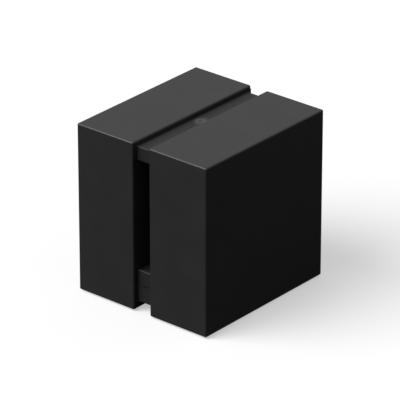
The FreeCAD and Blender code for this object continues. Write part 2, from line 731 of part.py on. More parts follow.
def make_cover(name, low, end, bosses, *additions):
    """A plate that closes a bar from below, countersunk for its two screws."""
    span = (low, f"{low} + cover_thickness")
    plate = box(f"{name}_plate", in_bar, (f"-({end})", end), span)
    whole = fuse(f"{name}_whole", plate, *additions) if additions else plate
    cuts = []
    for k, y in enumerate(bosses):
        cuts.append(rod(f"{name}_hole_{k}", "z", ("0", y), span, hole_radius))
        sink = (low, f"{low} + head_height")
        cuts.append(cone(f"{name}_sink_{k}", "z", ("0", y), sink, (sink_radius, hole_radius)))
    node(name, cut(name, whole, *cuts))


def make_neck():
    make_top_bar()
    disc_span = (top_bar_low, f"{top_bar_low} + cover_thickness")
    disc = rod("top_cover_disc", "z", ("0", "0"), disc_span, flange_radius)
    rib_span = (f"{top_bar_low} + 1", button_board_low)
    ribs = [
        box(f"top_cover_rib_{k}", in_bar, around(y, "rib_thickness / 2"), rib_span)
        for k, y in enumerate(("-rib_place", "rib_place"))
    ]
    make_cover("neck_top_cover", top_bar_low, f"{neck_end} - bar_end - part_gap", top_bosses, disc, *ribs)
    make_lower_bar()
    make_cover("neck_lower_cover", lower_bar_low, f"{neck_end} - bar_wall - part_gap", lower_bosses)


def countersunk(name, along, centre, face, way):
    """A countersunk screw with its head flush with a face and its shank running the given way."""
    def span(low, high):
        ends = (f"{face} + {way} * ({low})", f"{face} + {way} * ({high})")
        return ends if way > 0 else ends[::-1]

    radii = ("screw_head", "screw_radius")
    shank = rod(f"{name}_shank", along, centre, span("head_height", "screw_length"), "screw_radius")
    head = cone(f"{name}_head", along, centre, span("0", "head_height"), radii if way > 0 else radii[::-1])
    drive = rod(f"{name}_drive", along, centre, span("0", "drive_depth"), "drive_radius")
    return cut(name, fuse(f"{name}_body", shank, head), drive)


def pan_head(name, centre, side, seat):
    """A pan-head screw along X, with its head on the seat and its shank towards the slot."""
    shank_span = outwards(side, f"{seat} - screw_length", seat)
    shank = rod(f"{name}_shank", "x", centre, shank_span, "screw_radius")
    head_span = outwards(side, seat, f"{seat} + head_height")
    head = rod(f"{name}_head", "x", centre, head_span, "screw_head")
    drive_span = outwards(side, f"{seat} + head_height - drive_depth", f"{seat} + head_height")
    drive = rod(f"{name}_drive", "x", centre, drive_span, "drive_radius")
    return cut(name, fuse(f"{name}_body", shank, head), drive)


def make_feet():
    span = ("0", "foot_gap + foot_recess")
    feet = [
        rod(f"foot_{side}_{k}", "z", (at_side(side, slab_centre), y), span, "foot_radius")
        for side in (-1, 1)
        for k, y in enumerate(foot_places)
    ]
    node("rubber_feet", group("rubber_feet", *feet))


def make_screws():
    """Casing and cover screws from below, back panel screws, and the ones inside along X."""
    below, behind, neck, board = [], [], [], []
    for side in (-1, 1):
        for k, y in enumerate(bottom_lugs):
            at = (at_side(side, lug_x), y)
            below.append(countersunk(f"casing_screw_{side}_{k}", "z", at, "foot_gap", 1))
        for k, z in enumerate(back_lugs):
            at = (at_side(side, lug_x), z)
            behind.append(countersunk(f"back_screw_{side}_{k}", "y", at, back_face, -1))
        for k, at in enumerate(neck_screws):
            neck.append(pan_head(f"neck_screw_{side}_{k}", at, side, panel_inside))
        for k, at in enumerate(pillars):
            board.append(pan_head(f"board_screw_{side}_{k}", at, side, board_outer))
    for low, bosses in ((top_bar_low, top_bosses), (lower_bar_low, lower_bosses)):
        for y in bosses:
            below.append(countersunk(f"cover_screw_{len(below)}", "z", ("0", y), low, 1))
    node("casing_screws", group("casing_screws", *below))
    node("back_screws", group("back_screws", *behind))
    node("neck_screws", group("neck_screws", *neck))
    node("board_screws", group("board_screws", *board))


def symbol_strokes(name):
    """The light symbol: a ring open at the back, and a bar in the opening."""
    span = (f"{cap_top} - symbol_depth", cap_top)
    outer = rod(f"{name}_outer", "z", ("0", "0"), span, "symbol_radius")
    inner = rod(f"{name}_inner", "z", ("0", "0"), span, "symbol_radius - symbol_line")
    half = "symbol_opening / 2"
    opening = box(f"{name}_opening", (f"-{half}", half), ("0", "symbol_radius + 1"), span)
    ring = cut(f"{name}_ring", outer, inner, opening)
    bar_y = ("symbol_start", "symbol_radius + symbol_line / 2")
    bar = box(f"{name}_bar", ("-symbol_line / 2", "symbol_line / 2"), bar_y, span)
    return ring, bar


def make_power_button():
    """A flanged cap with a rounded rim, and the light symbol sunk into it."""
    body = new_body("button_cap")
    flange = sketch_on(body, "cap_flange", "XY_Plane", cap_bottom)
    disc_at_centre(flange, flange_radius)
    pad(body, flange, "flange_height")
    crown = sketch_on(body, "cap_crown", "XY_Plane", flange_top)
    disc_at_centre(crown, button_radius)
    top = pad(body, crown, "button_height")
    rim = [
        f"Edge{k + 1}"
        for k, edge in enumerate(top.Shape.Edges)
        if abs(edge.BoundBox.ZMin - value(cap_top)) < 1e-6
    ]
    rounding = body.newObject("PartDesign::Fillet", "cap_rim")
    rounding.Base = (top, rim)
    bind(rounding, Radius="cap_rounding")
    doc.recompute()
    node("power_button", cut("power_button", body, fuse("symbol_recess", *symbol_strokes("recess"))))
    node("button_symbol", group("button_symbol", *symbol_strokes("symbol")))


def make_button_switch():
    """The push switch under the cap, its plunger and its board."""
    switch_top = f"{button_board_top} + switch_height"
    half = ("-switch_side / 2", "switch_side / 2")
    housing = box("switch_housing", half, half, (button_board_top, switch_top))
    plunger_low = f"{cap_bottom} - plunger_length"
    bore_span = (f"{plunger_low} - button_travel - 0.1", f"{switch_top} + 1")
    bore = rod("switch_bore", "z", ("0", "0"), bore_span, "plunger_radius + slide_gap")
    node("power_switch", cut("power_switch", housing, bore))
    plunger = rod("switch_plunger", "z", ("0", "0"), (plunger_low, cap_bottom), "plunger_radius")
    node("switch_plunger", plunger)
    span = (button_board_low, button_board_top)
    node("button_board", box("button_board", in_bar, ("-board_ahead", "board_behind"), span))


def make_front_light():
    """The slit window with its flange, and the light and infrared receiver on their board."""
    flange_y = f"(-{neck_end} + bar_wall)"
    across = ("-(window_width / 2 - slide_gap)", "window_width / 2 - slide_gap")
    up = around(window_z, "window_height / 2 - slide_gap")
    slit = box("window_bar", across, (f"-{neck_end} + 0.1", flange_y), up)
    across = (f"-({bar_inside} - flange_margin)", f"{bar_inside} - flange_margin")
    ceiling = f"{low_ceiling} - part_gap"
    depth = (flange_y, f"{flange_y} + flange_depth")
    flange = box("window_flange", across, depth, (f"{window_z} - 2", ceiling))
    node("light_window", fuse("light_window", slit, flange))
    up = (f"{lower_bar_low} + cover_thickness", ceiling)
    node("light_board", box("light_board", in_bar, light_board_span, up))
    receiver_start = "(-(receiver_width + 0.6 + lamp_length) / 2)"
    receiver_end = f"({receiver_start} + receiver_width)"
    depth = (f"{light_board_front} - receiver_depth", light_board_front)
    up = (f"{window_z} - 2", f"{window_z} - 2 + receiver_height")
    node("infrared_receiver", box("infrared_receiver", (receiver_start, receiver_end), depth, up))
    across = (f"{receiver_end} + 0.6", f"{receiver_end} + 0.6 + lamp_length")
    depth = (f"{light_board_front} - lamp_height", light_board_front)
    lamps = [box("front_lamp", across, depth, around(window_z, "lamp_width / 2"))]
    for k, y in enumerate(("-lamp_place", "lamp_place")):
        across = ("-lamp_length / 2", "lamp_length / 2")
        up = (button_board_top, f"{button_board_top} + lamp_height")
        lamps.append(box(f"button_lamp_{k}", across, around(y, "lamp_width / 2"), up))
    node("indicator_lights", group("indicator_lights", *lamps))


def make_cables():
    """Ribbons and power leads, straight through the neck, and the connectors at their ends."""
    flat = "ribbon_thickness / 2"
    wide = "ribbon_width / 2"
    to_board = ("plug_end", plug_face)
    ribbons = [
        box("button_ribbon", to_board, around("ribbon_place", wide), around(button_ribbon_z, flat)),
        box("light_ribbon", to_board, around(light_ribbon_y, flat), around(light_ribbon_z, wide)),
    ]
    node("ribbon_cables", group("ribbon_cables", *ribbons))
    leads = [
        rod(f"power_lead_{k}", "x", (y, lead_z), (f"-{plug_face}", plug_face), "power_lead_radius")
        for k, y in enumerate(lead_y)
    ]
    node("power_leads", group("power_leads", *leads))
    in_neck = ("-plug_start", "plug_end")
    right = (plug_face, board_inner)
    wider = f"{wide} + 0.5"
    button_plug_z = (button_board_top, f"{button_ribbon_z} + 0.6")
    light_plug_y = (light_board_back, f"{light_ribbon_y} + 0.6")
    plugs = [
        box("button_plug", in_neck, around("ribbon_place", wider), button_plug_z),
        box("light_plug", in_neck, light_plug_y, around(light_ribbon_z, wider)),
        box("button_board_plug", right, around("ribbon_place", wider), around(button_ribbon_z, "1")),
        box("light_board_plug", right, around(light_ribbon_y, "1"), around(light_ribbon_z, wider)),
        box("right_power_plug", right, lead_span, around(lead_z, "2.5")),
        box("left_power_plug", outwards(-1, *right), lead_span, around(lead_z, "2.5")),
    ]
    node("board_connectors", group("board_connectors", *plugs))


def make_board(side, name):
    """A circuit board on its panel's pillars."""
    x = outwards(side, board_inner, board_outer)
    blank = box(f"{name}_blank", x, (board_front, board_back), (board_low, board_high))
    span = outwards(side, f"{board_inner} - 1", f"{board_outer} + 1")
    holes = [rod(f"{name}_hole_{k}", "x", at, span, hole_radius) for k, at in enumerate(pillars)]
    node(name, cut(name, blank, *holes))


def on_board(side, name, y, z, size, low=board_outer):
    """A block on a board's outer face: its centre in Y and Z, and its size in Y, Z and height."""
    x = outwards(side, low, f"{low} + {size[2]}")
    return box(name, x, around(y, f"({size[0]}) / 2"), around(z, f"({size[1]}) / 2"))


def standing(side, name, y, z, radius, height):
    """A round component that stands on a board."""
    return rod(name, "x", (y, z), outwards(side, board_outer, f"{board_outer} + {height}"), radius)


# The processor is in the middle of the main board, in front of the deepest socket
sink_y = f"(({board_front} + {socket_face} - ethernet_depth) / 2)"
sink_z = board_middle
chip_top = f"({board_outer} + chip_height)"
sink_low = f"({chip_top} + pad_height)"


def make_processor():
    """The processor, its memory, and the thermal pad and finned heat sink on it."""
    node("processor", on_board(1, "processor", sink_y, sink_z, ("chip_side", "chip_side", "chip_height")))
    size = ("chip_side", "chip_side", "pad_height")
    node("thermal_pad", on_board(1, "thermal_pad", sink_y, sink_z, size, chip_top))
    size = ("memory_width", "memory_length", "memory_height")
    memory = []
    for a in (-1, 1):
        y = f"{sink_y} + {a} * memory_across"
        memory += [on_board(1, f"memory_{a}_{b}", y, f"{sink_z} + {b} * memory_up", size) for b in (-1, 1)]
    node("memory_chips", group("memory_chips", *memory))
    size = ("flash_length", "flash_width", "flash_height")
    node("flash_chip", on_board(1, "flash_chip", sink_y, f"{sink_z} - flash_down", size))


def make_heat_sink():
    body = new_body("heat_sink")
    base = sketch_on(body, "sink_base_outline", "YZ_Plane", sink_low)
    up = around(sink_z, "sink_side / 2")
    rectangle(base, around(sink_y, "sink_side / 2"), up)
    pad(body, base, "sink_base")
    fin = sketch_on(body, "sink_fin", "YZ_Plane", f"{sink_low} + sink_base")
    start = f"({sink_y} - sink_side / 2)"
    rectangle(fin, (start, f"{start} + fin_thickness"), up)
    first = pad(body, fin, "fin_height")
    repeat(body, first, fin, "sink_side - fin_thickness", "fin_pitch")
    node("heat_sink", body)


def make_radio():
    """The radio chip under its shield can, two antennas on the casing's walls, and their leads."""
    y = f"({pillar_front} + screw_head + 1 + can_length / 2)"
    z = f"({sink_z} + sink_side / 2 + can_gap + can_width / 2)"
    outside = on_board(1, "can_outside", y, z, ("can_length", "can_width", "can_height"))
    size = ("can_length - 2 * can_wall", "can_width - 2 * can_wall", "can_height - can_wall")
    node("shield_can", cut("shield_can", outside, on_board(1, "can_inside", y, z, size)))
    node("radio_chip", on_board(1, "radio_chip", y, z, ("radio_side", "radio_side", "radio_height")))
    x = (f"{side_inside} - antenna_inset - antenna_width", f"{side_inside} - antenna_inset")
    top_y = (f"{pillar_front}", f"{pillar_front} + antenna_length")
    front_z = around(f"{sink_z} + antenna_rise", "antenna_length / 2")
    antennas = [
        box("top_antenna", x, top_y, (f"{roof_inside} - antenna_board", roof_inside)),
        box("front_antenna", x, (front_inside, f"{front_inside} + antenna_board"), front_z),
    ]
    node("antennas", group("antennas", *antennas))
    far_x = f"({side_inside} - antenna_inset - antenna_width / 2)"
    top_y = f"({y} + can_length / 2 + lead_step)"
    top_z = f"({z} + lead_step)"
    front_y = f"({board_front} + lead_step)"
    top_end = f"{roof_inside} - antenna_board"
    front_end = f"{front_inside} + antenna_board"
    up = [(board_outer, top_y, top_z), (far_x, top_y, top_z), (far_x, top_y, top_end)]
    ahead = [(board_outer, front_y, z), (far_x, front_y, z), (far_x, front_end, z)]
    top_lead = lead("top_lead", up, "lead_radius", "lead_bend")
    front_lead = lead("front_lead", ahead, "lead_radius", "lead_bend")
    node("antenna_leads", group("antenna_leads", top_lead, front_lead))


def socket_block(name, width, height, depth):
    """A socket's outer block at the main board's back edge."""
    x = (board_outer, f"{board_outer} + {height}")
    return box(name, x, (f"{socket_face} - {depth}", socket_face), around(socket_z[width], f"{width} / 2"))


def mouth(name, width, x, opening, depth):
    """A socket's mouth: its span in X above the board, its own width, and its depth."""
    across = (f"{board_outer} + {x[0]}", f"{board_outer} + {x[1]}")
    span = (f"{socket_face} - {depth}", f"{socket_face} + 1")
    return box(name, across, span, around(socket_z[width], f"({opening}) / 2"))


def make_ethernet_socket():
    block = socket_block("ethernet_block", "ethernet_width", "ethernet_height", "ethernet_depth")
    top = "mouth_low + mouth_height"
    notch = f"{top} + latch_height"
    steps = (
        ("mouth_low", top, "mouth_width"),
        (top, notch, "latch_width"),
        (notch, f"{notch} + key_height", "key_width"),
    )
    mouths = [
        mouth(f"ethernet_mouth_{k}", "ethernet_width", (low, high), opening, "mouth_depth")
        for k, (low, high, opening) in enumerate(steps)
    ]
    node("ethernet_socket", cut("ethernet_socket", block, *mouths))
    x = f"{board_outer} + mouth_low + contact_radius"
    span = (f"{socket_face} - mouth_depth", f"{socket_face} - mouth_depth + contact_length")
    contacts = [
        rod(f"contact_{k}", "y", (x, f"{socket_z['ethernet_width']} + {k - 3.5} * contact_pitch"), span,
            "contact_radius")
        for k in range(8)
    ]
    node("ethernet_contacts", group("ethernet_contacts", *contacts))


def make_metal_sockets():
    """The USB and HDMI sockets: folded metal shells, each with an insulating tongue in its mouth."""
    shell = socket_block("usb_block", "usb_width", "usb_height", "usb_depth")
    depth = "(usb_depth - socket_floor)"
    inside = ("shell_wall", "usb_height - shell_wall")
    opening = mouth("usb_mouth", "usb_width", inside, "usb_width - 2 * shell_wall", depth)
    node("usb_socket", cut("usb_socket", shell, opening))
    high = "(usb_height - shell_wall - 0.4)"
    tongue_x = (f"{board_outer} + {high} - tongue_thickness", f"{board_outer} + {high}")
    tongue_y = (f"{socket_face} - {depth}", f"{socket_face} - tongue_back")
    tongues = [box("usb_tongue", tongue_x, tongue_y, around(socket_z["usb_width"], "usb_tongue_width / 2"))]

    shell = socket_block("hdmi_block", "hdmi_width", "hdmi_height", "hdmi_depth")
    depth = "(hdmi_depth - socket_floor)"
    wide = ("hdmi_height / 2", "hdmi_height - shell_wall")
    narrow = ("shell_wall", "hdmi_height - shell_wall")
    openings = [
        mouth("hdmi_wide", "hdmi_width", wide, "hdmi_width - 2 * shell_wall", depth),
        mouth("hdmi_narrow", "hdmi_width", narrow, "hdmi_width - 2 * (shell_wall + hdmi_shoulder)", depth),
    ]
    node("hdmi_socket", cut("hdmi_socket", shell, *openings))
    tongue_x = around(f"{board_outer} + hdmi_height / 2", "tongue_thickness / 2")
    tongue_y = (f"{socket_face} - {depth}", f"{socket_face} - tongue_back")
    tongue_z = around(socket_z["hdmi_width"], "hdmi_tongue_width / 2")
    tongues.append(box("hdmi_tongue", tongue_x, tongue_y, tongue_z))
    node("socket_tongues", group("socket_tongues", *tongues))


def make_optical_socket():
    block = socket_block("optical_block", "optical_side", "optical_side", "optical_depth")
    x = ("(optical_side - optical_mouth) / 2", "(optical_side + optical_mouth) / 2")
    opening = mouth("optical_opening", "optical_side", x, "optical_mouth", "optical_hole")
    hollow = cut("optical_hollow", block, opening)
    span = (f"{socket_face} - optical_hole - 0.5", f"{socket_face} - optical_hole + barrel_length")
    barrel_at = (f"{board_outer} + optical_side / 2", socket_z["optical_side"])
    barrel = rod("optical_barrel", "y", barrel_at, span, "barrel_radius")
    node("optical_socket", fuse("optical_socket", hollow, barrel))


def make_reset_button():
    """A stem that slides in its switch and ends just inside the back panel's outer face."""
    tip = f"({back_face} - stem_setback)"
    start = f"({tip} - stem_length)"
    face = f"({back_inside} - reset_setback)"
    x = (board_outer, f"{board_outer} + reset_height")
    housing = box("reset_housing", x, (f"{face} - reset_side", face), around(reset_at[1], "reset_side / 2"))
    bore_span = (f"{start} - reset_travel - 0.2", f"{face} + 1")
    bore = rod("reset_bore", "y", reset_at, bore_span, "stem_radius + slide_gap")
    node("reset_switch", cut("reset_switch", housing, bore))
    node("reset_button", rod("reset_button", "y", reset_at, (start, tip), "stem_radius"))


def make_row_below_sink():
    """Filter capacitors and inductors along the heat sink's lower edge."""
    row = f"({sink_z} - sink_side / 2 - row_drop)"
    cans = [
        standing(1, f"filter_capacitor_{k}", f"{sink_y} - 2 * capacitor_pitch + {k} * capacitor_pitch", row,
                 "capacitor_radius", "capacitor_height")
        for k in range(3)
    ]
    node("filter_capacitors", group("filter_capacitors", *cans))
    size = ("inductor_side", "inductor_side", "inductor_height")
    coils = [
        on_board(1, f"inductor_{k}", f"{sink_y} + {k + 1} * inductor_pitch", row, size)
        for k in range(2)
    ]
    node("power_inductors", group("power_inductors", *coils))


def make_mains_inlet():
    """A block with a figure-8 mouth and two pins, at the power board's back edge."""
    middle = f"({board_outer} + inlet_height / 2)"
    x = outwards(-1, board_outer, f"{board_outer} + inlet_height")
    y = (f"{socket_face} - inlet_depth", socket_face)
    block = box("inlet_block", x, y, around(inlet_z, "inlet_width / 2"))
    floor = f"{socket_face} - inlet_hole"
    span = (floor, f"{socket_face} + 1")
    centres = [(f"-{middle}", f"{inlet_z} + {k} * pin_pitch / 2") for k in (-1, 1)]
    cuts = [rod(f"inlet_lobe_{k}", "y", at, span, "inlet_mouth / 2") for k, at in enumerate(centres)]
    waist_x = around(f"-{middle}", "inlet_waist / 2")
    cuts.append(box("inlet_waist", waist_x, span, around(inlet_z, "pin_pitch / 2")))
    node("mains_inlet", cut("mains_inlet", block, *cuts))
    span = (floor, f"{floor} + pin_length")
    pins = [rod(f"inlet_pin_{k}", "y", at, span, "pin_radius") for k, at in enumerate(centres)]
    node("inlet_pins", group("inlet_pins", *pins))


# Rows of the power board: mains at the back, the transformer in the middle, low voltage in front
row_back = f"({socket_face} - inlet_depth - row_behind)"
row_middle = f"({row_back} - row_gap)"
row_front = f"({board_front} + row_ahead)"
core_z = f"({board_middle} + 2)"
high_level = f"({board_high} - high_row)"


def make_mains_side():
    """Fuse, choke, rectifier and bulk capacitor."""
    x = f"-({board_outer} + fuse_radius)"
    at = (x, f"{socket_face} - fuse_setback")
    tube = rod("fuse", "z", at, around(core_z, "fuse_length / 2"), "fuse_radius")
    node("fuse", tube)
    at = (f"{row_middle} + choke_place", f"{core_z} - core_length / 2 - 1 - choke_radius")
    ring = standing(-1, "choke_ring", *at, "choke_radius", "choke_height")
    eye = standing(-1, "choke_eye", *at, "choke_hole", "choke_height")
    node("line_choke", cut("line_choke", ring, eye))
    size = ("rectifier_width", "rectifier_length", "rectifier_height")
    node("bridge_rectifier", on_board(-1, "bridge_rectifier", row_back, core_z, size))
    bulk = standing(-1, "bulk_capacitor", row_back, high_level, "bulk_radius", "bulk_height")
    node("bulk_capacitor", bulk)


def make_transformer():
    """A two-window core, with a winding through each window."""
    block = on_board(-1, "core_block", row_middle, core_z, ("core_width", "core_length", "core_height"))
    window = ("core_width + 2", "core_window", "core_height - 2 * core_floor")
    winding = ("core_width + 2 * winding_proud", "core_window - 2 * winding_gap",
               "core_height - 2 * core_floor - 2 * winding_gap")
    windows = []
    windings = []
    for k in (-1, 1):
        z = f"{core_z} + {k} * window_spread"
        low = f"{board_outer} + core_floor"
        windows.append(on_board(-1, f"core_window_{k}", row_middle, z, window, low))
        windings.append(on_board(-1, f"winding_{k}", row_middle, z, winding, f"{low} + winding_gap"))
    node("transformer_core", cut("transformer_core", block, *windows))
    node("transformer_windings", group("transformer_windings", *windings))


def make_low_voltage_side():
    """Power transistor on its heat sink, output capacitors, and the sheet that insulates the casing."""
    size = ("cooler_width", "cooler_thickness", "cooler_height")
    node("power_heat_sink", on_board(-1, "power_heat_sink", row_middle, high_level, size))
    z = f"{high_level} + (cooler_thickness + transistor_thickness) / 2"
    size = ("transistor_width", "transistor_thickness", "transistor_height")
    node("power_transistor", on_board(-1, "power_transistor", row_middle, z, size))
    cans = [
        standing(-1, f"output_capacitor_{k}", row_front, f"{core_z} + {k} * output_pitch", "output_radius",
                 "output_height")
        for k in (-1, 0, 1)
    ]
    node("output_capacitors", group("output_capacitors", *cans))
    x = outwards(-1, f"{side_inside} - sheet_thickness", side_inside)
    y = (f"{front_inside} + sheet_margin", f"{back_inside} - sheet_margin")
    z = (f"{floor_inside} + sheet_margin", f"{roof_inside} - sheet_margin")
    node("insulating_sheet", box("insulating_sheet", x, y, z))


make_casings()
make_neck()
make_feet()
make_screws()
make_power_button()
make_button_switch()
make_front_light()
make_cables()
make_board(1, "main_board")
make_board(-1, "power_board")
make_processor()
make_heat_sink()
make_radio()
make_ethernet_socket()
make_metal_sockets()
make_optical_socket()
make_reset_button()
make_row_below_sink()
make_mains_inlet()
make_mains_side()
make_transformer()
make_low_voltage_side()

doc.recompute()
for thing in doc.Objects:
    if "Invalid" in thing.State or "Error" in thing.State:
        raise ValueError(f"{thing.Name} failed: {thing.State}")
for name, piece in nodes.items():
    if piece.Shape.isNull() or not piece.Shape.isValid():
        raise ValueError(f"{name} has no valid shape")

os.makedirs("parts", exist_ok=True)
for name, piece in nodes.items():
    piece.Shape.exportStep(f"parts/{name}.step")
print(len(nodes), "sub-parts,", sum(len(piece.Shape.Solids) for piece in nodes.values()), "solids")
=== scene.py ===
import math
import bpy
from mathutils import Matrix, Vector


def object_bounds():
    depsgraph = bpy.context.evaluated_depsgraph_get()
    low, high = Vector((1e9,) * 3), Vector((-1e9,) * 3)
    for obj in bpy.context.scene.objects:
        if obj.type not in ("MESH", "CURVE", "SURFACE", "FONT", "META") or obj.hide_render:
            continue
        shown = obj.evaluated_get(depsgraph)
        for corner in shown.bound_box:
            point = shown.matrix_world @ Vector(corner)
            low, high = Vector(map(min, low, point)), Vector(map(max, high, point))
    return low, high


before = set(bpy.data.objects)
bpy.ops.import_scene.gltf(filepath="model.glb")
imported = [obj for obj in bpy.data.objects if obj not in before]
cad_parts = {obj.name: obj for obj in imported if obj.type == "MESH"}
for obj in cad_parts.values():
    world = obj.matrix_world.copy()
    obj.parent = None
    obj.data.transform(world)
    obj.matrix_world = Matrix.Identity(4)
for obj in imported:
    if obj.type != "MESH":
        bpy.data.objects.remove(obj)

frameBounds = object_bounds()


def feed(tree, socket, value):  # links another node's output, or sets a plain value
    if isinstance(value, bpy.types.NodeSocket):
        tree.links.new(value, socket)
    else:
        socket.default_value = value


def addNode(tree, kind, inputs=None, **settings):  # inputs go by name or by number
    node = tree.nodes.new(kind)
    for key, value in settings.items():
        setattr(node, key, value)
    for key, value in (inputs or {}).items():
        feed(tree, node.inputs[key], value)
    return node


def addMath(tree, operation, *values):
    return addNode(tree, "ShaderNodeMath", dict(enumerate(values)), operation=operation).outputs[0]


def mixColors(tree, factor, first, second):
    mix = addNode(tree, "ShaderNodeMix", {0: factor, 6: first, 7: second}, data_type="RGBA")
    return mix.outputs[2]


def objectPlace(tree):
    return addNode(tree, "ShaderNodeTexCoord").outputs["Object"]


def grey(level):
    return (level, level, level, 1.0)


# Shader groups: what every finish is mixed from
def newGroup(name, inputs, outputs):
    group = bpy.data.node_groups.new(name, "ShaderNodeTree")
    for label, default in inputs.items():
        kind = "NodeSocketColor" if default is None else "NodeSocketFloat"
        socket = group.interface.new_socket(label, in_out="INPUT", socket_type=kind)
        if default is not None:
            socket.default_value = default
    for label, kind in outputs.items():
        group.interface.new_socket(label, in_out="OUTPUT", socket_type=kind)
    return group, group.nodes.new("NodeGroupInput").outputs, group.nodes.new("NodeGroupOutput").inputs


# grain, cloud and scratch wear, and the edge mask that carries a painted highlight
wearAndHighlight = {
    "grainDetail": 3.0, "grainRoughness": 0.6,
    "cloudDetail": 4.0, "cloudRoughness": 0.55,
    "scratchTurn": (0.4, 0.3, 0.7), "scratchStretch": (900.0, 14000.0, 900.0), "scratchScale": 0.35,
    "scratchDetail": 2.0, "scratchStart": 0.66, "scratchFull": 0.74,
    "edgeSamples": 4, "edgeStart": 0.995, "edgeFull": 0.86,  # how far the rounded normal turns away
    "scratchLight": 0.12,
}


def makeWearAndHighlightGroup():  # grain, clouds and fine scratches as wear masks, and edges as a mask for polish and a painted highlight, all from 0 to 1
    tree, given, made = newGroup(
        "wearAndHighlightMasks",
        {"Grain": 9000.0, "Cloud": 60.0, "Edge": 0.0003},
        {mask: "NodeSocketFloat" for mask in ("Grain", "Cloud", "Scratch", "Edge")},
    )
    place = objectPlace(tree)
    for name in ("grain", "cloud"):
        noise = addNode(tree, "ShaderNodeTexNoise", {
            "Vector": place, "Scale": given[name.capitalize()],
            "Detail": wearAndHighlight[f"{name}Detail"], "Roughness": wearAndHighlight[f"{name}Roughness"],
        })
        tree.links.new(noise.outputs[0], made[name.capitalize()])
    turned = addNode(tree, "ShaderNodeMapping", {
        "Vector": place, "Rotation": wearAndHighlight["scratchTurn"], "Scale": wearAndHighlight["scratchStretch"],
    })
    line = addNode(tree, "ShaderNodeTexNoise", {
        "Vector": turned.outputs[0], "Scale": wearAndHighlight["scratchScale"], "Detail": wearAndHighlight["scratchDetail"],
    })
    scratch = addNode(tree, "ShaderNodeMapRange", {
        0: line.outputs[0], 1: wearAndHighlight["scratchStart"], 2: wearAndHighlight["scratchFull"],
    })
    tree.links.new(scratch.outputs[0], made["Scratch"])
    rounded = addNode(tree, "ShaderNodeBevel", {"Radius": given["Edge"]}, samples=wearAndHighlight["edgeSamples"])
    flat = addNode(tree, "ShaderNodeNewGeometry")
    same = addNode(tree, "ShaderNodeVectorMath", {0: rounded.outputs[0], 1: flat.outputs["Normal"]},
                   operation="DOT_PRODUCT")
    edge = addNode(tree, "ShaderNodeMapRange", {
        0: same.outputs["Value"], 1: wearAndHighlight["edgeStart"], 2: wearAndHighlight["edgeFull"],
    })
    tree.links.new(edge.outputs[0], made["Edge"])
    return tree


def makeToneGroup():  # a colour clouded, lighter on its scratches, and lighter on its edges as a painted highlight
    tree, given, made = newGroup(
        "tone",
        {"Color": None, "Cloud": 0.5, "Amount": 0.1, "Edge": 0.0, "Painted Edge Highlight": 0.2, "Scratch": 0.0},
        {"Color": "NodeSocketColor"},
    )
    shift = addMath(tree, "SUBTRACT", given["Cloud"], 0.5)
    clouded = addMath(tree, "MULTIPLY_ADD", shift, given["Amount"], 1.0)
    # painted highlight: the colour is made lighter on the edges
    edgeHighlighted = addMath(tree, "MULTIPLY_ADD", given["Edge"], given["Painted Edge Highlight"], clouded)
    lined = addMath(tree, "MULTIPLY_ADD", given["Scratch"], wearAndHighlight["scratchLight"], edgeHighlighted)
    toned = addNode(tree, "ShaderNodeVectorMath", {0: given["Color"], "Scale": lined}, operation="SCALE")
    tree.links.new(toned.outputs[0], made["Color"])
    return tree


wearAndHighlightMasks = makeWearAndHighlightGroup()
toneGroup = makeToneGroup()
print("shader groups")

shine = {"cloudSpread": 0.16, "edgePolish": -0.08, "bumpStrength": 0.6}


def makeFinish(name, color, rough, metal=0.0, coat=0.0, grain=9000.0, depth=0.00001, cloud=60.0,
               variety=0.2, paintedEdgeHighlight=0.25, pattern=None):
    material = bpy.data.materials.new(name)
    material.use_nodes = True
    tree = material.node_tree
    surface = tree.nodes["Principled BSDF"]
    masks = addNode(tree, "ShaderNodeGroup", node_tree=wearAndHighlightMasks)
    masks.inputs["Grain"].default_value = grain
    masks.inputs["Cloud"].default_value = cloud
    written = (*color, 1.0)
    tone = addNode(tree, "ShaderNodeGroup", node_tree=toneGroup)
    feed(tree, tone.inputs["Color"], pattern(tree, written) if pattern else written)
    feed(tree, tone.inputs["Amount"], variety)
    # how much lighter the edges are painted, as a painted highlight
    feed(tree, tone.inputs["Painted Edge Highlight"], paintedEdgeHighlight)
    for mask in ("Cloud", "Edge", "Scratch"):
        feed(tree, tone.inputs[mask], masks.outputs[mask])
    lowest = rough - shine["cloudSpread"] / 2
    mixed = addMath(tree, "MULTIPLY_ADD", masks.outputs["Cloud"], shine["cloudSpread"], lowest)
    polished = addMath(tree, "MULTIPLY_ADD", masks.outputs["Edge"], shine["edgePolish"], mixed)
    bump = addNode(tree, "ShaderNodeBump", {
        "Strength": shine["bumpStrength"], "Distance": depth, "Height": masks.outputs["Grain"],
    })
    for label, value in (
        ("Base Color", tone.outputs[0]),
        ("Roughness", polished),
        ("Normal", bump.outputs[0]),
        ("Metallic", metal),
        ("Coat Weight", coat),
    ):
        feed(tree, surface.inputs[label], value)
    return material


tracks = {
    "scale": 220.0, "gap": 0.06, "length": 1.7, "lighter": 1.7,
    "padScale": 420.0, "padRadius": 0.16, "padColor": (0.55, 0.42, 0.16, 1.0),
}


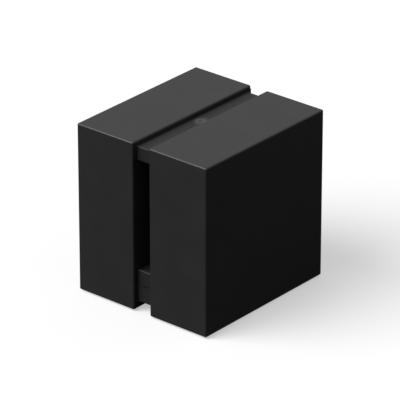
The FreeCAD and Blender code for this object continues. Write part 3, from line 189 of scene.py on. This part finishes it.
def boardTracks(tree, color):  # copper tracks and pads under the lacquer
    place = objectPlace(tree)
    turned = addNode(tree, "ShaderNodeMapping", {
        "Vector": place, "Rotation": (0.0, math.radians(90), 0.0),
    })
    brick = addNode(tree, "ShaderNodeTexBrick", {
        "Vector": turned.outputs[0], "Scale": tracks["scale"],
        "Mortar Size": tracks["gap"], "Brick Width": tracks["length"],
    })
    cells = addNode(tree, "ShaderNodeTexVoronoi", {"Vector": place, "Scale": tracks["padScale"]})
    pad = addMath(tree, "LESS_THAN", cells.outputs["Distance"], tracks["padRadius"])
    lighter = (*(min(1.0, tracks["lighter"] * part) for part in color[:3]), 1.0)
    lacquer = mixColors(tree, brick.outputs["Fac"], color, lighter)
    return mixColors(tree, pad, lacquer, tracks["padColor"])


turns = {"scale": 500.0, "distortion": 0.4, "shade": 0.35}


def wireTurns(tree, color):  # turns of enamelled wire, darker between the turns as painted shade
    wave = addNode(tree, "ShaderNodeTexWave", {
        "Vector": objectPlace(tree), "Scale": turns["scale"], "Distortion": turns["distortion"],
    }, bands_direction="Y")
    shaded = (*(turns["shade"] * part for part in color[:3]), 1.0)
    return mixColors(tree, wave.outputs["Fac"], shaded, color)


# Each finish, and the CAD nodes that have it; the lighter edges of a finish are a painted highlight
finishes = {
    "casingPlastic": (
        dict(color=(0.0205, 0.0205, 0.021), rough=0.43, grain=7000.0, depth=0.000012, variety=0.12,
             paintedEdgeHighlight=0.12),
        ("left_casing", "right_casing"),
    ),
    "panelPlastic": (
        dict(color=(0.014, 0.014, 0.0145), rough=0.55, grain=5200.0, depth=0.00002, variety=0.14),
        ("left_inner_panel", "right_inner_panel", "left_back_panel", "right_back_panel"),
    ),
    # darker than the casing plastic: painted shade on the neck between the two halves
    "neckPlasticPaintedShade": (
        dict(color=(0.011, 0.011, 0.0115), rough=0.55, grain=7000.0, depth=0.000012, variety=0.12,
             paintedEdgeHighlight=0.15),
        ("neck_top_bar", "neck_top_cover", "neck_lower_bar", "neck_lower_cover"),
    ),
    "buttonPlastic": (
        # a strong painted highlight on the button's edges
        dict(color=(0.020, 0.020, 0.021), rough=0.34, depth=0.000006, paintedEdgeHighlight=0.5),
        ("power_button", "switch_plunger"),
    ),
    "symbolPlastic": (dict(color=(0.075, 0.076, 0.080), rough=0.38, variety=0.1), ("button_symbol",)),
    "windowPlastic": (
        dict(color=(0.012, 0.009, 0.010), rough=0.12, coat=0.4, depth=0.000002),
        ("light_window",),
    ),
    "footRubber": (
        dict(color=(0.018, 0.018, 0.018), rough=0.82, grain=3200.0, depth=0.00005, variety=0.3),
        ("rubber_feet",),
    ),
    "screwSteel": (
        dict(color=(0.34, 0.34, 0.345), rough=0.34, metal=1.0, variety=0.25, paintedEdgeHighlight=0.3),
        ("casing_screws", "back_screws", "neck_screws", "board_screws"),
    ),
    "boardLacquer": (
        dict(color=(0.008, 0.075, 0.032), rough=0.32, coat=0.5, cloud=25.0, pattern=boardTracks),
        ("main_board", "power_board", "button_board", "light_board", "antennas"),
    ),
    "chipEpoxy": (
        dict(color=(0.016, 0.016, 0.017), rough=0.58, grain=5200.0, depth=0.000015, variety=0.25),
        ("processor", "memory_chips", "flash_chip", "radio_chip", "bridge_rectifier", "power_transistor",
         "infrared_receiver", "power_inductors"),
    ),
    "padSilicone": (dict(color=(0.33, 0.37, 0.42), rough=0.75, variety=0.3), ("thermal_pad",)),
    "sinkAluminium": (
        dict(color=(0.70, 0.71, 0.72), rough=0.42, metal=1.0, cloud=30.0, variety=0.12),
        ("heat_sink", "power_heat_sink"),
    ),
    "canTin": (dict(color=(0.62, 0.62, 0.60), rough=0.3, metal=1.0), ("shield_can",)),
    "socketSteel": (
        dict(color=(0.58, 0.58, 0.57), rough=0.27, metal=1.0, variety=0.18, paintedEdgeHighlight=0.3),
        ("usb_socket", "hdmi_socket"),
    ),
    "socketPlastic": (
        dict(color=(0.020, 0.020, 0.020), rough=0.48, grain=6000.0),
        ("ethernet_socket", "optical_socket", "mains_inlet", "power_switch", "reset_switch"),
    ),
    "tonguePlastic": (dict(color=(0.55, 0.54, 0.50), rough=0.5), ("socket_tongues", "board_connectors")),
    "contactGold": (dict(color=(0.83, 0.60, 0.24), rough=0.24, metal=1.0), ("ethernet_contacts",)),
    "pinBrass": (dict(color=(0.68, 0.60, 0.42), rough=0.26, metal=1.0), ("inlet_pins",)),
    "stemPlastic": (dict(color=(0.20, 0.20, 0.21), rough=0.45), ("reset_button",)),
    "lampResin": (dict(color=(0.85, 0.86, 0.84), rough=0.3, coat=0.3), ("indicator_lights",)),
    "ribbonFilm": (dict(color=(0.62, 0.60, 0.54), rough=0.4, cloud=200.0), ("ribbon_cables",)),
    "leadJacket": (dict(color=(0.25, 0.012, 0.010), rough=0.42), ("power_leads",)),
    "antennaJacket": (dict(color=(0.025, 0.025, 0.027), rough=0.4), ("antenna_leads",)),
    "canSleeve": (
        dict(color=(0.020, 0.032, 0.075), rough=0.28, coat=0.4),
        ("filter_capacitors", "output_capacitors", "bulk_capacitor"),
    ),
    "fuseGlass": (dict(color=(0.62, 0.60, 0.52), rough=0.2, coat=0.6), ("fuse",)),
    "ferrite": (
        dict(color=(0.035, 0.033, 0.032), rough=0.7, grain=4000.0, depth=0.00003),
        ("line_choke", "transformer_core"),
    ),
    "windingCopper": (
        dict(color=(0.62, 0.25, 0.10), rough=0.3, metal=0.7, coat=0.4, pattern=wireTurns),
        ("transformer_windings",),
    ),
    "sheetFibre": (
        dict(color=(0.34, 0.26, 0.15), rough=0.65, grain=2600.0, depth=0.00003, variety=0.3),
        ("insulating_sheet",),
    ),
}
for finishName, (look, nodeNames) in finishes.items():
    finish = makeFinish(finishName, **look)
    for nodeName in nodeNames:
        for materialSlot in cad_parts[nodeName].material_slots:
            materialSlot.material = finish
print("finishes", len(finishes))

# The floor is paper-white to the camera and dark to what it would light from below
stage = {
    "floorSize": 8.0, "floorSeen": 0.50, "floorLift": 0.46, "floorDiffuse": 0.04, "floorGlossy": 0.02,
    "worldSeen": 1.0, "worldDiffuse": 0.34, "worldGlossy": 0.49,
    "sunStrength": 3.4, "sunAngle": 48.0, "sunFrom": (-0.38, -0.60, 0.74),
}
bpy.ops.mesh.primitive_plane_add(size=stage["floorSize"])
floor = bpy.context.object
floor.name = "floor"

floorMaterial = bpy.data.materials.new("floorPaper")
floorMaterial.use_nodes = True
tree = floorMaterial.node_tree
surface = tree.nodes["Principled BSDF"]
path = addNode(tree, "ShaderNodeLightPath").outputs
dim = mixColors(tree, path["Is Glossy Ray"], grey(stage["floorDiffuse"]), grey(stage["floorGlossy"]))
seen = mixColors(tree, path["Is Camera Ray"], dim, grey(stage["floorSeen"]))
lifted = addMath(tree, "MULTIPLY", path["Is Camera Ray"], stage["floorLift"])
tree.links.new(seen, surface.inputs["Base Color"])
tree.links.new(lifted, surface.inputs["Emission Strength"])
surface.inputs["Emission Color"].default_value = grey(1.0)
surface.inputs["Roughness"].default_value = 1.0
surface.inputs["Specular IOR Level"].default_value = 0.0
floor.data.materials.append(floorMaterial)

world = bpy.data.worlds.new("studio")
bpy.context.scene.world = world
world.use_nodes = True
tree = world.node_tree
background = tree.nodes["Background"]
path = addNode(tree, "ShaderNodeLightPath").outputs
level = addNode(tree, "ShaderNodeMapRange", {
    0: path["Is Glossy Ray"], 3: stage["worldDiffuse"], 4: stage["worldGlossy"],
})
shown = addNode(tree, "ShaderNodeMix", {
    0: path["Is Camera Ray"], 2: level.outputs[0], 3: stage["worldSeen"],
}, data_type="FLOAT")
tree.links.new(shown.outputs[0], background.inputs["Strength"])
background.inputs["Color"].default_value = grey(1.0)

sunData = bpy.data.lights.new("key", "SUN")
sunData.energy = stage["sunStrength"]
sunData.angle = math.radians(stage["sunAngle"])
sun = bpy.data.objects.new("key", sunData)
sun.rotation_euler = Vector(stage["sunFrom"]).to_track_quat("Z", "Y").to_euler()
bpy.context.scene.collection.objects.link(sun)
print("floor and light")

view = {
    "azimuth": 40.04, "elevation": 25.58, "distance": 2.0709, "lens": 341.67, "sensor": 36.0,
    "stepLeft": 0.00045, "stepUp": 0.00034,
}
turn = math.radians(view["azimuth"])
lift = math.radians(view["elevation"])
backward = Vector((math.sin(turn) * math.cos(lift), -math.cos(turn) * math.cos(lift), math.sin(lift)))
sideways = Vector((math.cos(turn), math.sin(turn), 0.0))
upward = backward.cross(sideways)
centre = Vector((0.0, 0.0, (frameBounds[0][2] + frameBounds[1][2]) / 2))
cameraData = bpy.data.cameras.new("camera")
cameraData.lens = view["lens"]
cameraData.sensor_width = view["sensor"]
camera = bpy.data.objects.new("camera", cameraData)
camera.location = centre + backward * view["distance"] - sideways * view["stepLeft"] + upward * view["stepUp"]
camera.rotation_euler = backward.to_track_quat("Z", "Y").to_euler()
bpy.context.scene.collection.objects.link(camera)
bpy.context.scene.camera = camera
bpy.context.scene.view_settings.view_transform = "Standard"
print("camera")
